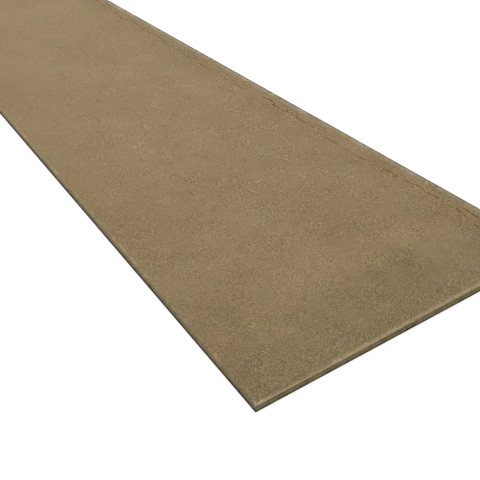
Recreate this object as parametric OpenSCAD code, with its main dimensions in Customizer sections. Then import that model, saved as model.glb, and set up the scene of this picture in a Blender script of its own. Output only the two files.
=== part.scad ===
/* [Plank] */
// Length of the plank, cut end to cut end (12 ft stock)
length = 3657.6; // [1200:0.1:4300]
// Width of the plank, from the drip edge to the top edge (12 in)
width = 304.8; // [130:0.1:400]
// Thickness of the board (5/16 in)
thickness = 7.94; // [6:0.01:15]

/* [Edges] */
// Radius of the face's arris along both long edges
long_arris_r = 1.5; // [0.5:0.1:4]
// Radius of the arris all round the back
back_arris_r = 0.5; // [0.1:0.1:1.5]
// Radius with which the face rolls down at a cut end
cut_roll_r = 3.4; // [3:0.1:5]
// How far in from a cut end the face starts to roll down
cut_roll_run = 2.8; // [0.5:0.1:2.9]

/* [Nail line] */
// Distance from the top edge to the straight dashes (about 1 in)
nail_line_inset = 26.5; // [22:0.1:60]
// Width of a dash
dash_w = 1.6; // [0.6:0.1:3]
// Depth of a dash
dash_depth = 0.5; // [0.1:0.05:1]
// Plain stretch between each end of the plank and the nail line
nail_line_margin = 20; // [5:1:100]

/* [Tears] */
// Distance from the top edge to the line that the tears follow
tear_inset = 21.5; // [8:0.1:50]
// Greatest width of a tear
tear_w = 2.8; // [1:0.1:6]
// Depth of a tear
tear_depth = 0.5; // [0.1:0.05:1]
// How far a tear may bow to either side between its ends
tear_bow = 0.7; // [0:0.1:2.5]
// Length along the plank of one tooth of a tear's ragged sides
tear_tooth = 2.5; // [2:0.5:10]

/* [Hidden] */
board_colour = [0.56, 0.49, 0.37];
// The nail line repeats along the plank. Each dash is its start and its length,
// counted from the start of the repeat.
nail_line_repeat = 800;
DASHES = [
    [52, 10], [201, 29], [245, 27], [423, 27], [461, 32],
    [515, 27], [561, 34], [598, 22], [622, 15], [773, 38],
];
// Each tear is its start, its length, and its distances from the top edge at its
// start and at its end, as shares of tear_inset.
TEARS = [
    [17, 13, 1.07, 1.05],
    [64, 21, 0.66, 0.65],
    [76, 8, 0.95, 1],
    [107, 18, 0.85, 0.97],
    [127, 11, 0.84, 0.87],
    [140, 10, 0.95, 1.03],
    [157, 18, 1.02, 0.98],
    [288, 9, 1.03, 1.02],
    [305, 19, 1, 1.02],
    [326, 13, 0.87, 0.85],
    [339, 13, 1, 1.02],
    [357, 18, 1.02, 1.04],
    [375, 22, 0.8, 0.9],
    [397, 10, 0.53, 0.53],
    [644, 14, 1.02, 1],
    [662, 8, 1, 1.02],
    [685, 9, 0.86, 1],
    [698, 11, 1.03, 1.05],
    [719, 14, 1.04, 1.07],
    [743, 7, 0.98, 0.97],
    [757, 10, 0.94, 0.92],
];
repeats = ceil(length / nail_line_repeat);
// How far the roll takes the face down at the very end of the plank
cut_roll_drop = cut_roll_r - sqrt(cut_roll_r * cut_roll_r - cut_roll_run * cut_roll_run);
// Each ragged side of a tear keeps at least this share of its width from the middle line
ragged_least = 0.3;
// Even the shortest tear has this many teeth
least_teeth = 2;
// The first of the seeds that make the tears uneven, and how many seeds a tear has
ragged_seed = 31;
seeds_each = 3;
// Cutting shapes run this far past the face that they cut
past = 1;
$fn = 64;

// Half the width of a tear at tooth i of n: it closes to a point at each end
function tear_half(i, n, share) = tear_w / 2 * sqrt(sin(180 * i / n)) * share;
// The middle line of a tear at tooth i of n, measured from the line at tear_inset
function tear_middle(i, n, tear, bow) =
    tear_inset * (1 - tear[2] - (tear[3] - tear[2]) * i / n) + bow * sin(180 * i / n);

// What a round of radius r takes off the corner at the origin, with the board on +X and +Y
module arris_waste(r) {
    difference() {
        translate([-past, -past]) square(r + past);
        translate([r, r]) circle(r);
    }
}

// What the roll takes off the corner at the origin, with the board on +X and +Y
module roll_waste() {
    difference() {
        translate([-past, -past]) square([cut_roll_run + past, cut_roll_drop + past]);
        translate([cut_roll_run, cut_roll_r]) circle(cut_roll_r);
    }
}

// Section across the plank: width along X, thickness along Y
module cross_section() {
    difference() {
        translate([-width / 2, 0]) square([width, thickness]);
        for (side = [0, 1]) mirror([side, 0]) {
            translate([-width / 2, 0]) arris_waste(back_arris_r);
            translate([-width / 2, thickness]) mirror([0, 1]) arris_waste(long_arris_r);
        }
    }
}

// Section along the plank: length along X, thickness along Y
module long_section() {
    difference() {
        translate([-length / 2, 0]) square([length, thickness]);
        for (side = [0, 1]) mirror([side, 0]) {
            translate([-length / 2, 0]) arris_waste(back_arris_r);
            translate([-length / 2, thickness]) mirror([0, 1]) roll_waste();
        }
    }
}

// The board itself: the cross section drawn out along the plank, trimmed by the long one
module board() {
    intersection() {
        translate([-length / 2, 0, 0])
            rotate([90, 0, 90])
                linear_extrude(length) cross_section();
        translate([0, width / 2, 0])
            rotate([90, 0, 0])
                linear_extrude(width) long_section();
    }
}

// One straight dash, from the origin along +X, with round ends
module dash(run_length) {
    translate([dash_w / 2, -dash_w / 2]) square([run_length - dash_w, dash_w]);
    for (x = [dash_w / 2, run_length - dash_w / 2])
        translate([x, 0]) circle(dash_w / 2);
}

// One tear, from the origin along +X: ragged on both sides, pointed at both ends
module tear(run, seed) {
    teeth = max(least_teeth, round(run[1] / tear_tooth));
    tooth = run[1] / teeth;
    left = rands(ragged_least, 1, teeth + 1, seed);
    right = rands(ragged_least, 1, teeth + 1, seed + 1);
    bow = tear_bow * rands(-1, 1, 1, seed + 2)[0];
    polygon(concat(
        [for (i = [0:teeth - 1])
            [i * tooth, tear_middle(i, teeth, run, bow) + tear_half(i, teeth, left[i])]],
        [for (i = [teeth:-1:1])
            [i * tooth, tear_middle(i, teeth, run, bow) - tear_half(i, teeth, right[i])]]
    ));
}

// Its child once for each run of a list, in each repeat that the plank has room for.
// The child reads its run from $run and its first seed from $seed.
module along(list) {
    for (k = [0:repeats - 1], i = [0:len(list) - 1]) {
        start = k * nail_line_repeat + list[i][0];
        fits = start > nail_line_margin && start + list[i][1] < length - nail_line_margin;
        $run = list[i];
        $seed = ragged_seed + seeds_each * (k * len(list) + i);
        if (fits)
            translate([length / 2 - start, 0]) mirror([1, 0]) children();
    }
}

// Takes its child's outline, drawn along a line at this inset, down to a depth below the face
module pressed(inset, depth) {
    translate([0, width / 2 - inset, thickness - depth])
        linear_extrude(depth + past) children();
}

module plank() {
    color(board_colour)
        difference() {
            board();
            pressed(nail_line_inset, dash_depth) along(DASHES) dash($run[1]);
            pressed(tear_inset, tear_depth) along(TEARS) tear($run, $seed);
        }
}

plank();
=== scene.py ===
import math
from collections import namedtuple

import bmesh
import bpy
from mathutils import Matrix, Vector, noise


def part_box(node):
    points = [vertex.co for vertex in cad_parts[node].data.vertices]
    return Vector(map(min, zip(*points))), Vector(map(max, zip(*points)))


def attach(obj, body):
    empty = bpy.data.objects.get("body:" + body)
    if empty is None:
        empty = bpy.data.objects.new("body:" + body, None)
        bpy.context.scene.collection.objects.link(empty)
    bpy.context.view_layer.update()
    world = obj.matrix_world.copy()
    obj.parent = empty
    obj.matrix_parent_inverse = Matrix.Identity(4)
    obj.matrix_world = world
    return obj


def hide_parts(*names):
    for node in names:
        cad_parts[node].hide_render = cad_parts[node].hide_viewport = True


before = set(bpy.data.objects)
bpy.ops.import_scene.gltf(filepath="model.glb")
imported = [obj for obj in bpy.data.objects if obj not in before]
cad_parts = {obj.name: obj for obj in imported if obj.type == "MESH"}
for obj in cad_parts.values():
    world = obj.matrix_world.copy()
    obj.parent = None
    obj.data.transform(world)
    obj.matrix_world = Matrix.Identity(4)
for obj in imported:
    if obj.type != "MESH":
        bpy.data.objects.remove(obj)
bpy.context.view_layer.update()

MM = 0.001

# ---------------------------------------------------------------- the plank's sizes, in metres
LOW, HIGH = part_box("plank")
LENGTH, WIDTH, THICKNESS = HIGH - LOW
END = HIGH.x
TOP_EDGE = HIGH.y
LONG_ARRIS_R = 1.5 * MM
BACK_ARRIS_R = 0.5 * MM
CUT_ROLL_R = 3.4 * MM
CUT_ROLL_RUN = 2.8 * MM
# Chips along the edges and waves in the face are at most this deep
CHIP_DEPTH = 0.25 * MM
WAVE_DEPTH = 0.12 * MM

# The nail line, as the frame's source lays it out: it repeats along the plank. Each dash is its
# start and its length in millimetres, counted from the start of the repeat. Each tear is its
# start, its length, and its distances from the top edge at both ends as shares of TEAR_INSET.
NAIL_REPEAT = 800 * MM
NAIL_MARGIN = 20 * MM
DASH_INSET = 26.5 * MM
DASH_WIDTH = 1.6 * MM
DASH_DEPTH = 0.5 * MM
DASHES = [
    (52, 10), (201, 29), (245, 27), (423, 27), (461, 32),
    (515, 27), (561, 34), (598, 22), (622, 15), (773, 38),
]
TEAR_INSET = 21.5 * MM
TEAR_WIDTH = 2.8 * MM
TEAR_DEPTH = 0.5 * MM
TEAR_WANDER = 0.7 * MM
TEARS = [
    (17, 13, 1.07, 1.05), (64, 21, 0.66, 0.65), (76, 8, 0.95, 1), (107, 18, 0.85, 0.97),
    (127, 11, 0.84, 0.87), (140, 10, 0.95, 1.03), (157, 18, 1.02, 0.98), (288, 9, 1.03, 1.02),
    (305, 19, 1, 1.02), (326, 13, 0.87, 0.85), (339, 13, 1, 1.02), (357, 18, 1.02, 1.04),
    (375, 22, 0.8, 0.9), (397, 10, 0.53, 0.53), (644, 14, 1.02, 1), (662, 8, 1, 1.02),
    (685, 9, 0.86, 1), (698, 11, 1.03, 1.05), (719, 14, 1.04, 1.07), (743, 7, 0.98, 0.97),
    (757, 10, 0.94, 0.92),
]
# A faint crease joins neighbours that are no further apart than this, along or across the plank
CREASE_LONGEST = 16 * MM
CREASE_STEP = 4 * MM
CREASE_OVERLAP = 2 * MM
CREASE_STRENGTH = 0.5
# How far inboard of the nail line the painted highlight on its lit rim runs
LIT_RIM_STEP = 1.5 * MM
# The walls have rings at these shares of the thickness, and all of the face lies above its share
WALL_RINGS = (0.62, 0.35)
FACE_LOWEST = 0.7
# Places nearer to each other than this count as one
SAME = 1e-6
# The finishes of the plank's faces, by their place in its list
PRESSED, SAWN, TRIMMED, BACK = 0, 1, 2, 3


# ---------------------------------------------------------------- the shape of the face
def smooth_step(low, high, value):
    """0 below low, 1 above high and a smooth rise between them."""
    share = min(max((value - low) / (high - low), 0.0), 1.0)
    return share * share * (3 - 2 * share)


def grit(x, y, size, seed):
    """Smooth noise from -1 to 1 with lumps of about the given size. Each use has its own seed."""
    return noise.noise(Vector((x / size, y / size, seed)))


def arris_drop(distance, radius, run):
    """How far a rounded arris lies below the face at a distance from its edge."""
    if distance >= run:
        return 0.0
    return radius - math.sqrt(max(radius ** 2 - (run - distance) ** 2, 0.0))


def arris_lines(radius, run, count):
    """Where mesh lines cross a rounded arris, evenly by angle, as distances from its edge."""
    steepest = math.asin(run / radius)
    return [run - radius * math.sin(steepest * (1 - k / count)) for k in range(count + 1)]


def lines_on(places, *zones):
    """Carries mesh lines on from the last place: each zone is where it ends and its spacing."""
    for end, spacing in zones:
        start = places[-1]
        count = max(1, round((end - start) / spacing))
        places = places + [start + (end - start) * (k + 1) / count for k in range(count)]
    return places


def nail_runs(from_end, runs):
    """(how far into the run, the run) for each run that passes this distance from the end."""
    for repeat in (from_end // NAIL_REPEAT, from_end // NAIL_REPEAT - 1):
        for run in runs:
            begins = repeat * NAIL_REPEAT + run[0] * MM
            length = run[1] * MM
            fits = begins > NAIL_MARGIN and begins + length < LENGTH - NAIL_MARGIN
            if fits and begins <= from_end <= begins + length:
                yield from_end - begins, run


def dash_press(from_end, from_top):
    """How deep, from 0 to 1, the nail line's wheel pressed a dash here."""
    off = abs(from_top - DASH_INSET)
    if off > DASH_WIDTH:
        return 0.0
    deepest = 0.0
    for into, run in nail_runs(from_end, DASHES):
        ends = smooth_step(0, 3 * MM, min(into, run[1] * MM - into))
        deepest = max(deepest, ends * (0.75 + 0.25 * grit(from_end, 0, 6 * MM, 3)))
    return deepest * (1 - smooth_step(0.4 * DASH_WIDTH, 0.9 * DASH_WIDTH, off))


def tear_wander(from_end):
    """How far a tear's middle line wanders off its course here."""
    return TEAR_WANDER * grit(from_end, 5, 9 * MM, 7)


def tear_press(from_end, from_top):
    """How deep, from 0 to 1, the skin is torn out here."""
    if from_top > 1.3 * TEAR_INSET:
        return 0.0
    deepest = 0.0
    for into, run in nail_runs(from_end, TEARS):
        middle = TEAR_INSET * (run[2] + (run[3] - run[2]) * into / (run[1] * MM))
        middle += tear_wander(from_end)
        half = TEAR_WIDTH / 2 * (0.75 + 0.5 * grit(from_end, from_top, 4 * MM, 11))
        ends = smooth_step(0, 2.5 * MM, min(into, run[1] * MM - into))
        crumbs = smooth_step(-0.9, -0.4, grit(from_end, 9, 5 * MM, 13))
        off = smooth_step(0.4 * half, 1.2 * half, abs(from_top - middle))
        deepest = max(deepest, ends * crumbs * (1 - off))
    return deepest


def crease_line(before, after, share):
    """How far from the top edge the crease between two neighbours runs, or None where their
    line steps too far."""
    # A dash gives no distance of its own, because all dashes lie on one line
    if len(before) == 2:
        return DASH_INSET
    start, finish = TEAR_INSET * before[3], TEAR_INSET * after[2]
    if abs(finish - start) > CREASE_STEP:
        return None
    return start + (finish - start) * share


def crease_press(from_end, from_top):
    """How strong, from 0 to 1, the faint crease is that joins neighbouring dashes or tears."""
    strongest = 0.0
    place = from_end % NAIL_REPEAT
    for runs in (DASHES, TEARS):
        for before, after in zip(runs, runs[1:]):
            begins, ends = (before[0] + before[1]) * MM, after[0] * MM
            reached = begins - CREASE_OVERLAP <= place <= ends + CREASE_OVERLAP
            if ends - begins > CREASE_LONGEST or not reached:
                continue
            share = min(max((place - begins) / max(ends - begins, MM), 0.0), 1.0)
            line = crease_line(before, after, share)
            if line is None:
                continue
            if runs is TEARS:
                line += tear_wander(from_end)
            off = smooth_step(0.4 * MM, 1.1 * MM, abs(from_top - line))
            strongest = max(strongest, CREASE_STRENGTH * (1 - off))
    return strongest


def face_height(x, y):
    """Height of the weather face, with its arrises, nail line and the faint waves of the press."""
    to_end = END - abs(x)
    to_top, to_drip = TOP_EDGE - y, y + TOP_EDGE
    from_end = END - x
    drop = max(
        arris_drop(min(to_top, to_drip), LONG_ARRIS_R, LONG_ARRIS_R),
        arris_drop(to_end, CUT_ROLL_R, CUT_ROLL_RUN),
    )
    edge_wear = 1 - smooth_step(0, 4 * MM, min(to_top, to_drip, to_end))
    drop += edge_wear * CHIP_DEPTH * max(grit(x, y, 9 * MM, 17), 0)
    drop += WAVE_DEPTH / 2 * (1 + grit(x, y, 60 * MM, 19))
    drop += DASH_DEPTH * dash_press(from_end, to_top)
    drop += TEAR_DEPTH * tear_press(from_end, to_top)
    return HIGH.z - drop


# ---------------------------------------------------------------- the plank's mesh
def face_grid():
    """The weather face: one grid with its lines crowded at the arrises, over the nail line and
    on the stretch next to the cut end at +X."""
    roll = arris_lines(CUT_ROLL_R, CUT_ROLL_RUN, 5)
    along = lines_on(
        roll, (500 * MM, 1.6 * MM), (950 * MM, 2.8 * MM), (LENGTH - CUT_ROLL_RUN, 5 * MM),
    )[:-1]
    along += [LENGTH - d for d in reversed(roll)]
    arris = arris_lines(LONG_ARRIS_R, LONG_ARRIS_R, 4)
    across = lines_on(
        arris, (9 * MM, 2.5 * MM), (25 * MM, 0.6 * MM), (30 * MM, 0.45 * MM), (35 * MM, 2.5 * MM),
        (WIDTH - 30 * MM, 16 * MM), (WIDTH - LONG_ARRIS_R, 3 * MM),
    )[:-1]
    across += [WIDTH - d for d in reversed(arris)]
    columns, rows = len(along) - 1, len(across) - 1
    bm = bmesh.new()
    bmesh.ops.create_grid(bm, x_segments=columns, y_segments=rows, size=0.5)
    for v in bm.verts:
        v.co.x = END - along[round((0.5 - v.co.x) * columns)]
        v.co.y = TOP_EDGE - across[round((0.5 - v.co.y) * rows)]
    # The wide cells on the rolled ends are cut finer, so that the chips there keep their shape
    rolled = END - 1.01 * CUT_ROLL_RUN
    crossing = [e for e in bm.edges if all(abs(v.co.x) > rolled for v in e.verts)]
    crossing = [e for e in crossing if abs(e.verts[0].co.y - e.verts[1].co.y) > 2 * MM]
    bmesh.ops.subdivide_edges(bm, edges=crossing, cuts=3, use_grid_fill=True)
    for v in bm.verts:
        v.co.z = face_height(v.co.x, v.co.y)
    return bm


def draw_down_walls(bm):
    """Draws the walls and the back's arris down from the face's border, ring by ring. Each ring
    is how far it lies inside the outline, and its height."""
    turns = [math.radians(a) for a in (0, 30, 60, 90)]
    rings = [(0.0, share * THICKNESS) for share in WALL_RINGS]
    rings += [(BACK_ARRIS_R * (1 - math.cos(a)), BACK_ARRIS_R * (1 - math.sin(a))) for a in turns]
    border = [e for e in bm.edges if e.is_boundary]
    last_inset = 0.0
    for inset, z in rings:
        made = bmesh.ops.extrude_edge_only(bm, edges=border)["geom"]
        border = [g for g in made if isinstance(g, bmesh.types.BMEdge) and g.is_boundary]
        for v in {v for e in border for v in e.verts}:
            at_end = abs(v.co.x) > END - last_inset - SAME
            at_side = abs(v.co.y) > TOP_EDGE - last_inset - SAME
            v.co.z = z
            if at_end:
                v.co.x = math.copysign(END - inset, v.co.x)
            if at_side:
                v.co.y = math.copysign(TOP_EDGE - inset, v.co.y)
        last_inset = inset
    return border


def close_back(bm, border):
    """Bridges the back from long edge to long edge and fills what is left at its ends."""
    inside = END - 1.2 * BACK_ARRIS_R
    rails = [e for e in border if all(abs(v.co.x) < inside for v in e.verts)]
    bmesh.ops.bridge_loops(bm, edges=rails)
    bmesh.ops.holes_fill(bm, edges=[e for e in bm.edges if e.is_boundary], sides=0)
    bmesh.ops.recalc_face_normals(bm, faces=bm.faces)


def mark_nail_line(bm):
    """Writes where the skin is torn or pressed in, or creased between them, for the painted shade
    there, and where the lit rim beside it takes a painted highlight. The tears' painted shade is
    stronger from half a metre in, and the dashes are fainter before that and stronger after it."""
    torn = bm.verts.layers.float.new("torn")
    lit_rim = bm.verts.layers.float.new("lit_rim")
    for v in bm.verts:
        if v.co.z > FACE_LOWEST * THICKNESS:
            from_end, from_top = END - v.co.x, TOP_EDGE - v.co.y
            shade_gain = 1.2 + 1.1 * smooth_step(350 * MM, 650 * MM, from_end)
            pressed = 1 - 0.3 * smooth_step(300 * MM, 450 * MM, from_end)
            pressed += 0.6 * smooth_step(480 * MM, 520 * MM, from_end)
            v[torn] = max(
                pressed * dash_press(from_end, from_top),
                shade_gain * tear_press(from_end, from_top),
                crease_press(from_end, from_top),
            )
            beside = from_top - LIT_RIM_STEP
            v[lit_rim] = max(dash_press(from_end, beside), tear_press(from_end, beside))


def share_out_finishes(bm):
    """Gives each face its finish by the way it looks: down, sideways or up."""
    for face in bm.faces:
        face.smooth = True
        if face.normal.z < -0.5:
            face.material_index = BACK
        elif face.normal.z < 0.2:
            face.material_index = SAWN if abs(face.normal.x) > 0.7 else TRIMMED


def plank_piece():
    """The plank as one closed mesh, with a finish for its face, its ends, its edges and its back."""
    bm = face_grid()
    close_back(bm, draw_down_walls(bm))
    mark_nail_line(bm)
    share_out_finishes(bm)
    return finished(bm, "plank_board", [pressed_face(), sawn_end(), trimmed_edge(), felt_back()])


def finished(bm, name, materials):
    """Turns a bmesh into an object at the origin, with its finishes in their slots."""
    mesh = bpy.data.meshes.new(name)
    bm.to_mesh(mesh)
    bm.free()
    for material in materials:
        mesh.materials.append(material)
    piece = bpy.data.objects.new(name, mesh)
    bpy.context.collection.objects.link(piece)
    return piece


# ---------------------------------------------------------------- what the finishes share
# Sockets of the colour form of the Mix node
SHARE, UNDER, OVER, MIXED = 0, 6, 7, 2
# How far a point lies from the nearer cut end, from the drip edge and from the top edge
Edges = namedtuple("Edges", "end drip top")


def paint(hex_colour):
    """A colour written as sRGB hex, turned to the linear values that the shaders take."""
    parts = [int(hex_colour[i:i + 2], 16) / 255 for i in (1, 3, 5)]
    linear = [c / 12.92 if c <= 0.04045 else ((c + 0.055) / 1.055) ** 2.4 for c in parts]
    return (*linear, 1.0)


def add(tree, kind, values=None, links=None, **settings):
    """Adds a node with its settings, the values of its unlinked sockets and its links."""
    node = tree.nodes.new(kind)
    for name, value in settings.items():
        setattr(node, name, value)
    for socket, value in (values or {}).items():
        node.inputs[socket].default_value = value
    for socket, source in (links or {}).items():
        tree.links.new(source, node.inputs[socket])
    return node


def new_finish(name):
    """A material, its node tree, its shader and the Object coordinates that patterns read."""
    material = bpy.data.materials.new(name)
    material.use_nodes = True
    tree = material.node_tree
    place = add(tree, "ShaderNodeTexCoord").outputs["Object"]
    return material, tree, tree.nodes["Principled BSDF"], place


def edge_distances(tree, place):
    """Measures a point's distances from the plank's edges."""
    axes = add(tree, "ShaderNodeSeparateXYZ", {}, {0: place}).outputs
    along = add(tree, "ShaderNodeMath", {}, {0: axes["X"]}, operation="ABSOLUTE").outputs[0]
    to_end = add(tree, "ShaderNodeMath", {0: END}, {1: along}, operation="SUBTRACT").outputs[0]
    to_drip = add(tree, "ShaderNodeMath", {1: TOP_EDGE}, {0: axes["Y"]}).outputs[0]
    to_top = add(tree, "ShaderNodeMath", {0: TOP_EDGE}, {1: axes["Y"]}, operation="SUBTRACT")
    return Edges(to_end, to_drip, to_top.outputs[0])


def noise_sum(tree, place, layers, start=None):
    """Adds noise to a value: each layer is its lump size, its swing to each side and its curl."""
    total = start
    for size, swing, curl in layers:
        lumps = add(tree, "ShaderNodeTexNoise",
                    {"Scale": 1 / size, "Detail": 1.0, "Distortion": curl}, {"Vector": place})
        layer = add(tree, "ShaderNodeMapRange",
                    {"From Min": 0.3, "From Max": 0.7, "To Min": -swing, "To Max": swing},
                    {"Value": lumps.outputs["Fac"]}, clamp=False).outputs["Result"]
        if total is None:
            total = layer
        else:
            total = add(tree, "ShaderNodeMath", {}, {0: total, 1: layer}).outputs[0]
    return total


def cement_surface(tree, shader, skin, tone, swing, relief, depth, roughness, specular):
    """Matte cement: its tone swings the skin's colour, and its relief roughens it. Red swings
    most and blue least, so that dark grain is olive and pale grain is warm."""
    shade = add(tree, "ShaderNodeVectorMath", {1: swing}, {0: tone, 2: skin},
                operation="MULTIPLY_ADD").outputs[0]
    tree.links.new(shade, shader.inputs["Base Color"])
    bump = add(tree, "ShaderNodeBump", {"Strength": 1.0, "Distance": depth}, {"Height": relief})
    tree.links.new(bump.outputs["Normal"], shader.inputs["Normal"])
    shader.inputs["Roughness"].default_value = roughness
    shader.inputs["Specular IOR Level"].default_value = specular


# ---------------------------------------------------------------- the pressed face
def pressed_face():
    """Autoclaved fibre cement, uncoated. The felt it was pressed under leaves a matte, finely
    stippled skin with stretches rubbed smooth; the cure leaves faint warm and olive clouds, the
    saw leaves a dusty band at the cut ends, and handling rubs the arrises pale. The rolled arrises
    of the cut ends and the nail line also hold painted highlights and painted shade."""
    material, tree, shader, place = new_finish("fibre_cement_pressed_face")
    edges = edge_distances(tree, place)
    skin = dried_skin(tree, place, edges)
    skin = dull_borders(tree, place, edges, skin)
    skin = trimmed_rim(tree, place, edges, skin)
    skin = rubbed_and_lit_roll(tree, place, edges, skin)
    skin = shaded_nail_line(tree, place, skin)
    stipple = felt_stipple(tree, place, edges)
    tone = face_tone(tree, place, edges, stipple)
    cement_surface(tree, shader, skin, tone, swing=(0.27, 0.225, 0.16), relief=stipple,
                   depth=0.12 * MM, roughness=0.95, specular=0.35)
    return material


def dried_skin(tree, place, edges):
    """Warm and olive clouds from the way the sheet dried. They are strong beside the cut, faint
    from there on and strong again past half a metre. The skin is greener at the cut, and warmer
    and browner where the nail line's wheels ran."""
    clouds = ((45 * MM, 0.14, 0.0), (16 * MM, 0.18, 0.0), (6 * MM, 0.15, 0.0))
    hue = noise_sum(tree, place, clouds)
    further = add(tree, "ShaderNodeMapRange",
                  {"From Min": 300 * MM, "From Max": 600 * MM, "To Min": 0.27, "To Max": 0.7},
                  {"Value": edges.end}).outputs["Result"]
    share = add(tree, "ShaderNodeMapRange",
                {"From Min": 50 * MM, "From Max": 130 * MM, "To Min": 0.58},
                {"Value": edges.end, "To Max": further}).outputs["Result"]
    warmer = add(tree, "ShaderNodeMapRange",
                 {"From Min": 30 * MM, "From Max": 40 * MM, "To Min": 0.58, "To Max": 0.5},
                 {"Value": edges.top}).outputs["Result"]
    greener = add(tree, "ShaderNodeMapRange",
                  {"From Min": 20 * MM, "From Max": 60 * MM, "To Min": -0.07, "To Max": 0.0},
                  {"Value": edges.end}).outputs["Result"]
    middle = add(tree, "ShaderNodeMath", {}, {0: warmer, 1: greener}).outputs[0]
    hue = add(tree, "ShaderNodeMath", {}, {0: hue, 1: share, 2: middle}, operation="MULTIPLY_ADD")
    skin = add(tree, "ShaderNodeMix", {UNDER: paint("#90825C"), OVER: paint("#9B7E5D")},
               {SHARE: hue.outputs[0]}, data_type="RGBA").outputs[MIXED]
    browner = add(tree, "ShaderNodeMapRange",
                  {"From Min": 30 * MM, "From Max": 42 * MM, "To Min": 0.12, "To Max": 0.0},
                  {"Value": edges.top}).outputs["Result"]
    return add(tree, "ShaderNodeMix", {OVER: paint("#9A7C4C")}, {SHARE: browner, UNDER: skin},
               data_type="RGBA").outputs[MIXED]


def dull_borders(tree, place, edges, skin):
    """Darkens a band of sawing dust beside a cut, which fades out from 30 to 76 mm with a blotchy
    border, and broad soft margins along the drip edge and the top edge."""
    border = ((60 * MM, 8 * MM, 0.0), (20 * MM, 10 * MM, 0.0), (7 * MM, 8 * MM, 0.0))
    blotchy = noise_sum(tree, place, border, edges.end)
    dusty = add(tree, "ShaderNodeMapRange",
                {"From Min": 30 * MM, "From Max": 76 * MM, "To Min": 0.11, "To Max": 0.0},
                {"Value": blotchy}, interpolation_type="SMOOTHSTEP").outputs["Result"]
    low = add(tree, "ShaderNodeMapRange",
              {"From Min": 0.0, "From Max": 70 * MM, "To Min": 0.05, "To Max": 0.0},
              {"Value": edges.drip}, interpolation_type="SMOOTHSTEP").outputs["Result"]
    most = add(tree, "ShaderNodeMapRange",
               {"From Min": 100 * MM, "From Max": 500 * MM, "To Min": 0.05, "To Max": 0.125},
               {"Value": edges.end}).outputs["Result"]
    high = add(tree, "ShaderNodeMapRange",
               {"From Min": 15 * MM, "From Max": 70 * MM, "To Max": 0.0},
               {"Value": edges.top, "To Min": most}, interpolation_type="SMOOTHSTEP")
    margins = add(tree, "ShaderNodeMath", {}, {0: low, 1: high.outputs["Result"]}).outputs[0]
    dull = add(tree, "ShaderNodeMath", {}, {0: dusty, 1: margins}).outputs[0]
    return add(tree, "ShaderNodeMix", {OVER: paint("#1E1206")}, {SHARE: dull, UNDER: skin},
               data_type="RGBA").outputs[MIXED]


def trimmed_rim(tree, place, edges, skin):
    """Both long edges where the wet sheet was trimmed: greyer in olive and pinkish stretches,
    scuffed pale, and dark at the very top edge."""
    stretches = ((60 * MM, 0.15, 0.0), (18 * MM, 0.55, 0.0), (7 * MM, 0.35, 0.0))
    pinker = noise_sum(tree, place, stretches)
    pinker = add(tree, "ShaderNodeMath", {1: 0.5}, {0: pinker}, use_clamp=True).outputs[0]

    # Grey over a band that widens along the top edge, and faintly along the drip edge
    wavy = noise_sum(tree, place, ((14 * MM, 1.5 * MM, 0.0),), edges.top)
    reach = add(tree, "ShaderNodeMapRange",
                {"From Min": 100 * MM, "From Max": 450 * MM, "To Min": 10 * MM, "To Max": 13 * MM},
                {"Value": edges.end}).outputs["Result"]
    grey = add(tree, "ShaderNodeMapRange", {"From Min": 4 * MM, "To Min": 0.68, "To Max": 0.0},
               {"Value": wavy, "From Max": reach}, interpolation_type="SMOOTHSTEP").outputs["Result"]
    faint = add(tree, "ShaderNodeMapRange",
                {"From Min": 0.5 * MM, "From Max": 4.5 * MM, "To Min": 0.2, "To Max": 0.0},
                {"Value": edges.drip}, interpolation_type="SMOOTHSTEP").outputs["Result"]
    grey = add(tree, "ShaderNodeMath", {}, {0: grey, 1: faint}, operation="MAXIMUM").outputs[0]
    trimming = add(tree, "ShaderNodeMix", {UNDER: paint("#959569"), OVER: paint("#A18D80")},
                   {SHARE: pinker}, data_type="RGBA").outputs[MIXED]
    skin = add(tree, "ShaderNodeMix", {}, {SHARE: grey, UNDER: skin, OVER: trimming},
               data_type="RGBA").outputs[MIXED]

    # Pale scuffs, 5 to 20 mm long, a little further in at the top edge
    from_top = add(tree, "ShaderNodeMath", {1: 3 * MM}, {0: edges.top}, operation="SUBTRACT")
    from_drip = add(tree, "ShaderNodeMath", {1: 1 * MM}, {0: edges.drip}).outputs[0]
    nearest = add(tree, "ShaderNodeMath", {}, {0: from_top.outputs[0], 1: from_drip},
                  operation="MINIMUM").outputs[0]
    scuffed = noise_sum(tree, place, ((22 * MM, 0.6, 0.0), (6 * MM, 0.6, 0.0)))
    scuffed = add(tree, "ShaderNodeMapRange", {"From Min": 0.0, "From Max": 0.8},
                  {"Value": scuffed}).outputs["Result"]
    beside = add(tree, "ShaderNodeMapRange",
                 {"From Min": 2.6 * MM, "From Max": 4.6 * MM, "To Min": 0.6, "To Max": 0.0},
                 {"Value": nearest}, interpolation_type="SMOOTHSTEP").outputs["Result"]
    scuff = add(tree, "ShaderNodeMath", {}, {0: scuffed, 1: beside}, operation="MULTIPLY").outputs[0]
    scraped = add(tree, "ShaderNodeMix", {UNDER: paint("#AFA782"), OVER: paint("#B7A088")},
                  {SHARE: pinker}, data_type="RGBA").outputs[MIXED]
    skin = add(tree, "ShaderNodeMix", {}, {SHARE: scuff, UNDER: skin, OVER: scraped},
               data_type="RGBA").outputs[MIXED]

    # The dark line at the very top edge
    grimy = add(tree, "ShaderNodeMapRange",
                {"From Min": 200 * MM, "From Max": 600 * MM, "To Min": 0.3, "To Max": 0.48},
                {"Value": edges.end}).outputs["Result"]
    line = add(tree, "ShaderNodeMapRange",
               {"From Min": 2.6 * MM, "From Max": 4.6 * MM, "To Max": 0.0},
               {"Value": edges.top, "To Min": grimy}, interpolation_type="SMOOTHSTEP")
    return add(tree, "ShaderNodeMix", {OVER: paint("#2C291E")},
               {SHARE: line.outputs["Result"], UNDER: skin}, data_type="RGBA").outputs[MIXED]


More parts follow.
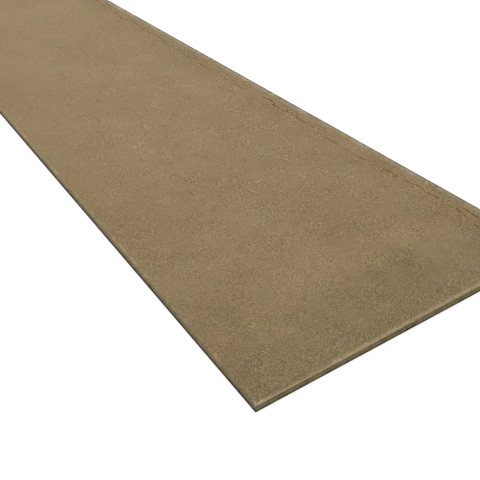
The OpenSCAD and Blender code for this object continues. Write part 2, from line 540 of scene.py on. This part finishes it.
def rubbed_and_lit_roll(tree, place, edges, skin):
    """The rolled arris of a cut end: pale in a flecked strip, partly rubbed and partly a painted
    highlight, with a painted highlight on its lip beside the drip edge and painted shade on its lip
    further along, and fresh chips at its knocked corner."""
    # The rubbed pale and its painted highlight are fainter over the last few millimetres to the drip
    # edge
    drip_fade = add(tree, "ShaderNodeMapRange",
                  {"From Min": 1.5 * MM, "From Max": 5 * MM, "To Min": 0.7},
                  {"Value": edges.drip}).outputs["Result"]
    skin = rubbed_and_lit_strip(tree, place, edges, skin, drip_fade)

    # A painted highlight on its lip, palest where the strip is narrow
    lip = noise_sum(tree, place, ((7 * MM, 0.12 * MM, 0.0),), edges.end)
    lip = add(tree, "ShaderNodeMapRange",
              {"From Min": 0.35 * MM, "From Max": 0.85 * MM, "To Min": 1.0, "To Max": 0.0},
              {"Value": lip}, interpolation_type="SMOOTHSTEP").outputs["Result"]
    lip_highlight = add(tree, "ShaderNodeMapRange",
                {"From Min": 70 * MM, "From Max": 115 * MM, "To Min": 0.6, "To Max": 0.0},
                {"Value": edges.drip}).outputs["Result"]
    lip_highlight = add(tree, "ShaderNodeMath", {}, {0: lip_highlight, 1: lip}, operation="MULTIPLY").outputs[0]
    lip_highlight = add(tree, "ShaderNodeMath", {}, {0: lip_highlight, 1: drip_fade}, operation="MULTIPLY").outputs[0]
    skin = add(tree, "ShaderNodeMix", {OVER: paint("#C8B591")}, {SHARE: lip_highlight, UNDER: skin},
               data_type="RGBA").outputs[MIXED]

    # The corner with the drip edge is knocked: pale fresh chips up to 8 mm long
    knocked = add(tree, "ShaderNodeMapRange",
                  {"From Min": 5 * MM, "From Max": 9 * MM, "To Min": 0.8, "To Max": 0.0},
                  {"Value": edges.drip}, interpolation_type="SMOOTHSTEP").outputs["Result"]
    chips = noise_sum(tree, place, ((2 * MM, 0.9 * MM, 0.0),), edges.end)
    chips = add(tree, "ShaderNodeMapRange",
                {"From Min": 0.7 * MM, "From Max": 2.0 * MM, "To Min": 1.0, "To Max": 0.0},
                {"Value": chips}, interpolation_type="SMOOTHSTEP").outputs["Result"]
    chips = add(tree, "ShaderNodeMath", {}, {0: chips, 1: knocked}, operation="MULTIPLY").outputs[0]
    skin = add(tree, "ShaderNodeMix", {OVER: paint("#D0BC98")}, {SHARE: chips, UNDER: skin},
               data_type="RGBA").outputs[MIXED]

    # Painted shade on the lip's underside, further from the drip edge
    lip_shade = add(tree, "ShaderNodeMapRange",
                {"From Min": 115 * MM, "From Max": 160 * MM, "To Min": 0.0, "To Max": 0.4},
                {"Value": edges.drip}).outputs["Result"]
    lip_shade = add(tree, "ShaderNodeMath", {}, {0: lip_shade, 1: lip}, operation="MULTIPLY").outputs[0]
    return add(tree, "ShaderNodeMix", {OVER: paint("#6B6042")}, {SHARE: lip_shade, UNDER: skin},
               data_type="RGBA").outputs[MIXED]


def rubbed_and_lit_strip(tree, place, edges, skin, drip_fade):
    """A pale strip, narrow over the third next to the drip edge, but not at its corner. Its inner
    side is chipped, and its colour goes from olive to pinkish. Its paleness is partly rubbed wear
    and partly a painted highlight on the rolled arris."""
    narrow = add(tree, "ShaderNodeMapRange",
                 {"From Min": 60 * MM, "From Max": 115 * MM, "To Min": 1.8 * MM, "To Max": 0.4 * MM},
                 {"Value": edges.drip}).outputs["Result"]
    flare = add(tree, "ShaderNodeMapRange",
                {"From Min": 9 * MM, "From Max": 17 * MM, "To Min": -1.3 * MM, "To Max": 0.0},
                {"Value": edges.drip}).outputs["Result"]
    inner = add(tree, "ShaderNodeMath", {}, {0: narrow, 1: flare}).outputs[0]
    inner = add(tree, "ShaderNodeMath", {}, {0: inner, 1: edges.end}).outputs[0]
    chipped = ((30 * MM, 0.2 * MM, 0.0), (9 * MM, 0.4 * MM, 0.0), (2.5 * MM, 0.4 * MM, 0.0))
    inner = noise_sum(tree, place, chipped, inner)
    gone = add(tree, "ShaderNodeMapRange",
               {"From Min": 9 * MM, "From Max": 17 * MM, "To Min": 3.2 * MM, "To Max": 4.5 * MM},
               {"Value": edges.drip}).outputs["Result"]
    pale = add(tree, "ShaderNodeMapRange", {"From Min": 0.9 * MM, "To Max": 0.0},
               {"Value": inner, "From Max": gone, "To Min": drip_fade},
               interpolation_type="SMOOTHSTEP").outputs["Result"]
    flecks = noise_sum(tree, place, ((4 * MM, 0.12, 0.0), (1.3 * MM, 0.3, 0.0)))
    pale = add(tree, "ShaderNodeMath", {}, {0: pale, 1: flecks, 2: pale},
               operation="MULTIPLY_ADD").outputs[0]
    pinker = noise_sum(tree, place, ((14 * MM, 0.4, 0.0), (4 * MM, 0.5, 0.0)))
    pinker = add(tree, "ShaderNodeMath", {1: 0.5}, {0: pinker}, use_clamp=True).outputs[0]
    # The strip's pale colour is partly rubbed wear and partly a painted highlight
    rubbed = add(tree, "ShaderNodeMix", {UNDER: paint("#B4A87F"), OVER: paint("#BCA286")},
                 {SHARE: pinker}, data_type="RGBA").outputs[MIXED]
    return add(tree, "ShaderNodeMix", {}, {SHARE: pale, UNDER: skin, OVER: rubbed},
               data_type="RGBA").outputs[MIXED]


def shaded_nail_line(tree, place, skin):
    """The nail line: painted shade where the skin is pressed in or torn, and a painted highlight
    along the lit rim beside it.
    """
    torn = add(tree, "ShaderNodeAttribute", attribute_name="torn").outputs["Fac"]
    lit_rim = add(tree, "ShaderNodeAttribute", attribute_name="lit_rim").outputs["Fac"]
    rim_highlight = add(tree, "ShaderNodeMath", {1: 0.5}, {0: lit_rim}, operation="MULTIPLY").outputs[0]
    shade_spread = noise_sum(tree, place, ((5 * MM, 0.22, 0.0),))
    shade_spread = add(tree, "ShaderNodeMath", {1: 0.78}, {0: shade_spread}).outputs[0]
    dark = add(tree, "ShaderNodeMath", {}, {0: torn, 1: shade_spread}, operation="MULTIPLY").outputs[0]
    # A painted highlight on the lit rim beside the marks
    skin = add(tree, "ShaderNodeMix", {OVER: paint("#AD9A7C")}, {SHARE: rim_highlight, UNDER: skin},
               data_type="RGBA").outputs[MIXED]
    # Painted shade in the pressed and torn marks and along their creases
    return add(tree, "ShaderNodeMix", {OVER: paint("#6B5200")}, {SHARE: dark, UNDER: skin},
               data_type="RGBA").outputs[MIXED]


def stipple_strength(tree, place, edges):
    """How strong the stipple is: strong in patches some 15 mm across and faint between them. It
    is fainter towards the drip edge, far along the plank and under the sawing dust, and the nail
    line's wheels roughened it."""
    patch = add(tree, "ShaderNodeTexNoise", {"Scale": 1 / (15 * MM), "Detail": 2.0},
                {"Vector": place})
    contrast = add(tree, "ShaderNodeMapRange",
                   {"From Min": 130 * MM, "From Max": 500 * MM, "To Min": 0.0, "To Max": 0.4},
                   {"Value": edges.end}).outputs["Result"]
    faint = add(tree, "ShaderNodeMapRange",
                {"From Min": 60 * MM, "From Max": 170 * MM, "To Min": 0.7, "To Max": 0.46},
                {"Value": edges.drip}).outputs["Result"]
    faint = add(tree, "ShaderNodeMath", {}, {0: faint, 1: contrast}, operation="SUBTRACT").outputs[0]
    full = add(tree, "ShaderNodeMath", {1: 1.12}, {0: contrast}).outputs[0]
    strength = add(tree, "ShaderNodeMapRange", {"From Min": 0.38, "From Max": 0.62},
                   {"Value": patch.outputs["Fac"], "To Min": faint, "To Max": full},
                   interpolation_type="SMOOTHSTEP").outputs["Result"]

    across = add(tree, "ShaderNodeMapRange",
                 {"From Min": 30 * MM, "From Max": 170 * MM, "To Min": -0.28, "To Max": 0.08},
                 {"Value": edges.drip}).outputs["Result"]
    along = add(tree, "ShaderNodeMapRange",
                {"From Min": 150 * MM, "From Max": 650 * MM, "To Min": 0.0, "To Max": -0.27},
                {"Value": edges.end}).outputs["Result"]
    dust = add(tree, "ShaderNodeMapRange",
               {"From Min": 40 * MM, "From Max": 170 * MM, "To Min": 0.0, "To Max": -0.25},
               {"Value": edges.drip}).outputs["Result"]
    smothered = add(tree, "ShaderNodeMapRange",
                    {"From Min": 30 * MM, "From Max": 160 * MM, "To Max": 0.0},
                    {"Value": edges.end, "To Min": dust}).outputs["Result"]
    roughened = add(tree, "ShaderNodeMapRange",
                    {"From Min": 28 * MM, "From Max": 38 * MM, "To Min": 0.35, "To Max": 0.0},
                    {"Value": edges.top}).outputs["Result"]
    extra = across
    for more in (along, smothered, roughened):
        extra = add(tree, "ShaderNodeMath", {}, {0: extra, 1: more}).outputs[0]
    return add(tree, "ShaderNodeMath", {}, {0: strength, 1: extra, 2: strength},
               operation="MULTIPLY_ADD").outputs[0]


def felt_stipple(tree, place, edges):
    """The felt's print: grain of 0.65 and 1 mm, drawn out a little across the plank, with a
    little of 2.2 mm that grows stronger along the plank."""
    drawn = add(tree, "ShaderNodeMapping", {"Scale": (1.12, 0.88, 1.0)}, {"Vector": place})
    fine = noise_sum(tree, drawn.outputs[0], ((1.03 * MM, 0.48, 1.0), (0.65 * MM, 0.46, 0.5)))
    coarse = noise_sum(tree, place, ((2.2 * MM, 1.0, 0.5),))
    amount = add(tree, "ShaderNodeMapRange",
                 {"From Min": 100 * MM, "From Max": 600 * MM, "To Min": 0.05, "To Max": 0.15},
                 {"Value": edges.end}).outputs["Result"]
    grain = add(tree, "ShaderNodeMath", {}, {0: coarse, 1: amount, 2: fine},
                operation="MULTIPLY_ADD").outputs[0]
    strength = stipple_strength(tree, place, edges)
    return add(tree, "ShaderNodeMath", {}, {0: grain, 1: strength}, operation="MULTIPLY").outputs[0]


def face_tone(tree, place, edges, stipple):
    """How much paler or darker the face is: its stipple, soft clouds and an uneven rim."""
    # The stipple's pale flecks stand out further from the skin than its dark pits
    flecked = add(tree, "ShaderNodeMath", {1: 0.24}, {0: stipple}, operation="MULTIPLY").outputs[0]
    flecked = add(tree, "ShaderNodeMath", {}, {0: flecked, 1: stipple, 2: stipple},
                  operation="MULTIPLY_ADD").outputs[0]
    sizes = ((110 * MM, 0.05, 0.0), (40 * MM, 0.042, 0.0), (14 * MM, 0.033, 0.0),
             (6 * MM, 0.018, 0.0))
    clouds = noise_sum(tree, place, sizes)
    evener = add(tree, "ShaderNodeMapRange",
                 {"From Min": 300 * MM, "From Max": 650 * MM, "To Min": 1.0, "To Max": 0.65},
                 {"Value": edges.end}).outputs["Result"]
    tone = add(tree, "ShaderNodeMath", {}, {0: clouds, 1: evener, 2: flecked},
               operation="MULTIPLY_ADD").outputs[0]
    # The rim along the top edge is uneven: paler near the cut, and rougher further along
    fresh = add(tree, "ShaderNodeMapRange",
                {"From Min": 130 * MM, "From Max": 260 * MM, "To Min": 0.07, "To Max": 0.0},
                {"Value": edges.end}).outputs["Result"]
    lumps = ((18 * MM, 0.07, 0.0), (6 * MM, 0.08, 0.0), (2.5 * MM, 0.12, 0.0))
    uneven = noise_sum(tree, place, lumps, fresh)
    rougher = add(tree, "ShaderNodeMapRange",
                  {"From Min": 200 * MM, "From Max": 600 * MM, "To Min": 1.0, "To Max": 1.6},
                  {"Value": edges.end}).outputs["Result"]
    rim = add(tree, "ShaderNodeMapRange", {"From Min": 7 * MM, "From Max": 12 * MM, "To Max": 0.0},
              {"Value": edges.top, "To Min": rougher}).outputs["Result"]
    return add(tree, "ShaderNodeMath", {}, {0: uneven, 1: rim, 2: tone},
               operation="MULTIPLY_ADD").outputs[0]


# ---------------------------------------------------------------- the raw edges and the back
def raw_edge(name, core, warm_core, foot, foot_high, core_low, brow):
    """An uncoated edge of the board: its core colours, with painted shade darkening them towards
    its foot and by brow under its arris, with the fine layers of the film it was wound from along
    it. The painted shade at the foot reaches higher away from the cut ends, and evens out what it
    darkens."""
    material, tree, shader, place = new_finish(name)
    height = add(tree, "ShaderNodeSeparateXYZ", {}, {0: place}).outputs["Z"]
    edges = edge_distances(tree, place)
    # Painted shade at the foot, reaching higher away from the cut ends, with a wavy top
    shade_rise = add(tree, "ShaderNodeMapRange",
               {"From Min": 80 * MM, "From Max": 600 * MM, "To Min": 0.0, "To Max": 1.2 * MM},
               {"Value": edges.end}).outputs["Result"]
    above = add(tree, "ShaderNodeMath", {}, {0: height, 1: shade_rise}, operation="SUBTRACT").outputs[0]
    above = noise_sum(tree, place, ((11 * MM, 0.35 * MM, 0.0), (3 * MM, 0.15 * MM, 0.0)), above)
    unshaded = add(tree, "ShaderNodeMapRange", {"From Min": foot_high, "From Max": core_low},
              {"Value": above}, interpolation_type="SMOOTHSTEP").outputs["Result"]
    risen = add(tree, "ShaderNodeMapRange",
                {"From Min": 2 * MM, "From Max": 5.8 * MM, "To Min": 0.1, "To Max": 0.9},
                {"Value": height}).outputs["Result"]
    warmth = noise_sum(tree, place, ((30 * MM, 0.35, 0.0), (9 * MM, 0.4, 0.0), (4 * MM, 0.4, 0.0)))
    warmth = add(tree, "ShaderNodeMath", {}, {0: warmth, 1: risen}, use_clamp=True).outputs[0]
    raw = add(tree, "ShaderNodeMix", {UNDER: paint(core), OVER: paint(warm_core)},
              {SHARE: warmth}, data_type="RGBA").outputs[MIXED]
    raw = green_corner(tree, edges, raw)
    skin = add(tree, "ShaderNodeMix", {UNDER: paint(foot)}, {SHARE: unshaded, OVER: raw},
               data_type="RGBA").outputs[MIXED]
    # Painted shade under the arris, in a brow at the top of the wall
    shaded = add(tree, "ShaderNodeMapRange",
                 {"From Min": 4.3 * MM, "From Max": 5.9 * MM, "To Min": 0.0, "To Max": brow},
                 {"Value": height}, interpolation_type="SMOOTHSTEP").outputs["Result"]
    skin = add(tree, "ShaderNodeMix", {OVER: paint(foot)}, {SHARE: shaded, UNDER: skin},
               data_type="RGBA").outputs[MIXED]
    # Film layers about 0.9 mm thick, and broken grains over them
    layered = add(tree, "ShaderNodeMapping", {"Scale": (0.12, 0.12, 1.0)}, {"Vector": place})
    tone = noise_sum(tree, layered.outputs[0], ((0.9 * MM, 0.1, 0.0),))
    grains = ((14 * MM, 0.12, 0.0), (5 * MM, 0.22, 0.0), (1.3 * MM, 0.45, 0.0))
    tone = noise_sum(tree, place, grains, tone)
    uneven = add(tree, "ShaderNodeMapRange", {"To Min": 0.3}, {"Value": unshaded}).outputs["Result"]
    tone = add(tree, "ShaderNodeMath", {}, {0: tone, 1: uneven}, operation="MULTIPLY").outputs[0]
    cement_surface(tree, shader, skin, tone, swing=(0.2, 0.165, 0.1), relief=tone,
                   depth=0.2 * MM, roughness=1.0, specular=0.25)
    return material


def green_corner(tree, edges, raw):
    """Stains a raw edge green towards a cut end's corner with the drip edge."""
    stain = add(tree, "ShaderNodeMapRange",
                {"From Min": 3 * MM, "From Max": 18 * MM, "To Min": 0.9, "To Max": 0.0},
                {"Value": edges.drip}).outputs["Result"]
    near = add(tree, "ShaderNodeMapRange",
               {"From Min": 1 * MM, "From Max": 5 * MM, "To Min": 1.0, "To Max": 0.0},
               {"Value": edges.end}).outputs["Result"]
    stain = add(tree, "ShaderNodeMath", {}, {0: stain, 1: near}, operation="MULTIPLY").outputs[0]
    return add(tree, "ShaderNodeMix", {OVER: paint("#868769")}, {SHARE: stain, UNDER: raw},
               data_type="RGBA").outputs[MIXED]


def sawn_end():
    """The sawn end: raw olive grey core, with a line of painted shade at its foot and painted
    shade under its arris.
    """
    return raw_edge("fibre_cement_sawn_end", core="#867E5B", warm_core="#907D5A", foot="#271F12",
                    foot_high=1.0 * MM, core_low=2.6 * MM, brow=0.22)


def trimmed_edge():
    """The long edges, trimmed while the sheet was wet: smoother, with painted shade darkening them
    towards the back.
    """
    return raw_edge("fibre_cement_trimmed_edge", core="#928264", warm_core="#928264",
                    foot="#2A2213", foot_high=2.0 * MM, core_low=3.9 * MM, brow=0)


def felt_back():
    """The back, which no tool touched after the felt conveyor: greyer than the face and evenly
    dull, with the felt's fine ribs along it and soft drying clouds."""
    material, tree, shader, place = new_finish("fibre_cement_felt_back")
    hue = noise_sum(tree, place, ((90 * MM, 0.3, 0.5), (30 * MM, 0.2, 0.0)))
    hue = add(tree, "ShaderNodeMath", {1: 0.5}, {0: hue}, use_clamp=True).outputs[0]
    skin = add(tree, "ShaderNodeMix", {UNDER: paint("#8B8065"), OVER: paint("#95866C")},
               {SHARE: hue}, data_type="RGBA").outputs[MIXED]
    # Felt ribs 2.5 mm apart, running along the plank and broken every 30 mm or so
    ribs = add(tree, "ShaderNodeMapping", {"Scale": (0.08, 1.0, 1.0)}, {"Vector": place})
    tone = noise_sum(tree, ribs.outputs[0], ((2.5 * MM, 0.16, 0.0),))
    grains = ((1.2 * MM, 0.3, 0.5), (8 * MM, 0.12, 0.0), (60 * MM, 0.15, 0.0))
    tone = noise_sum(tree, place, grains, tone)
    cement_surface(tree, shader, skin, tone, swing=(0.16, 0.14, 0.1), relief=tone,
                   depth=0.2 * MM, roughness=1.0, specular=0.25)
    return material


board = plank_piece()
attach(board, "root")
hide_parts("plank")


# ---------------------------------------------------------------- camera, floor and light
def camera_on_the_cut_end():
    """Looks down along the plank from beside its cut end, so that the far part runs out of view."""
    aim = Vector((END - 164.4 * MM, -55 * MM, 0))
    azimuth, elevation, distance = math.radians(56.38), math.radians(35.66), 568.3 * MM
    back = Vector((
        math.sin(azimuth) * math.cos(elevation),
        -math.cos(azimuth) * math.cos(elevation),
        math.sin(elevation),
    ))
    camera = bpy.data.objects.new("camera", bpy.data.cameras.new("camera"))
    camera.data.lens = 48.19
    camera.data.sensor_width = 36
    camera.data.clip_start = 0.01
    camera.location = aim + back * distance
    camera.rotation_mode = "QUATERNION"
    camera.rotation_quaternion = (-back).to_track_quat("-Z", "Y")
    bpy.context.collection.objects.link(camera)
    bpy.context.scene.camera = camera


def seen_directly(tree):
    """1 where the camera, a reflection or clear glass looks at this, and 0 for the light it gives."""
    path = add(tree, "ShaderNodeLightPath").outputs
    seen = add(tree, "ShaderNodeMath", {}, {0: path["Is Camera Ray"], 1: path["Is Glossy Ray"]},
               operation="MAXIMUM")
    return add(tree, "ShaderNodeMath", {}, {0: seen.outputs[0], 1: path["Is Transmission Ray"]},
               operation="MAXIMUM").outputs[0]


def studio_floor():
    """A pale matte floor that looks white and keeps the plank's soft shadow."""
    bm = bmesh.new()
    bmesh.ops.create_grid(bm, x_segments=1, y_segments=1, size=40)
    material, tree, shader, _ = new_finish("white_studio_floor")
    shader.inputs["Base Color"].default_value = paint("#B4B4B4")
    shader.inputs["Roughness"].default_value = 1.0
    shader.inputs["Emission Color"].default_value = paint("#FFFFFF")
    lift = add(tree, "ShaderNodeMath", {1: 0.75}, {0: seen_directly(tree)}, operation="MULTIPLY")
    tree.links.new(lift.outputs[0], shader.inputs["Emission Strength"])
    finished(bm, "studio_floor", [material])


def studio_light():
    """A softbox as long as the plank, 0.4 m above it, in a pale room."""
    world = bpy.data.worlds.new("studio_room")
    bpy.context.scene.world = world
    world.use_nodes = True
    tree = world.node_tree
    background = tree.nodes["Background"]
    background.inputs["Color"].default_value = paint("#FFFFFF")
    strength = add(tree, "ShaderNodeMapRange", {"To Min": 0.7, "To Max": 1.0},
                   {"Value": seen_directly(tree)})
    tree.links.new(strength.outputs["Result"], background.inputs["Strength"])

    lamp = bpy.data.lights.new("softbox", "AREA")
    lamp.shape = "RECTANGLE"
    lamp.size, lamp.size_y = LENGTH, 1.2
    lamp.energy = 4.5
    box = bpy.data.objects.new("softbox", lamp)
    box.location = (0, 0, 0.4)
    box.visible_camera = False
    bpy.context.collection.objects.link(box)


camera_on_the_cut_end()
studio_floor()
studio_light()
bpy.context.scene.view_settings.view_transform = "Standard"
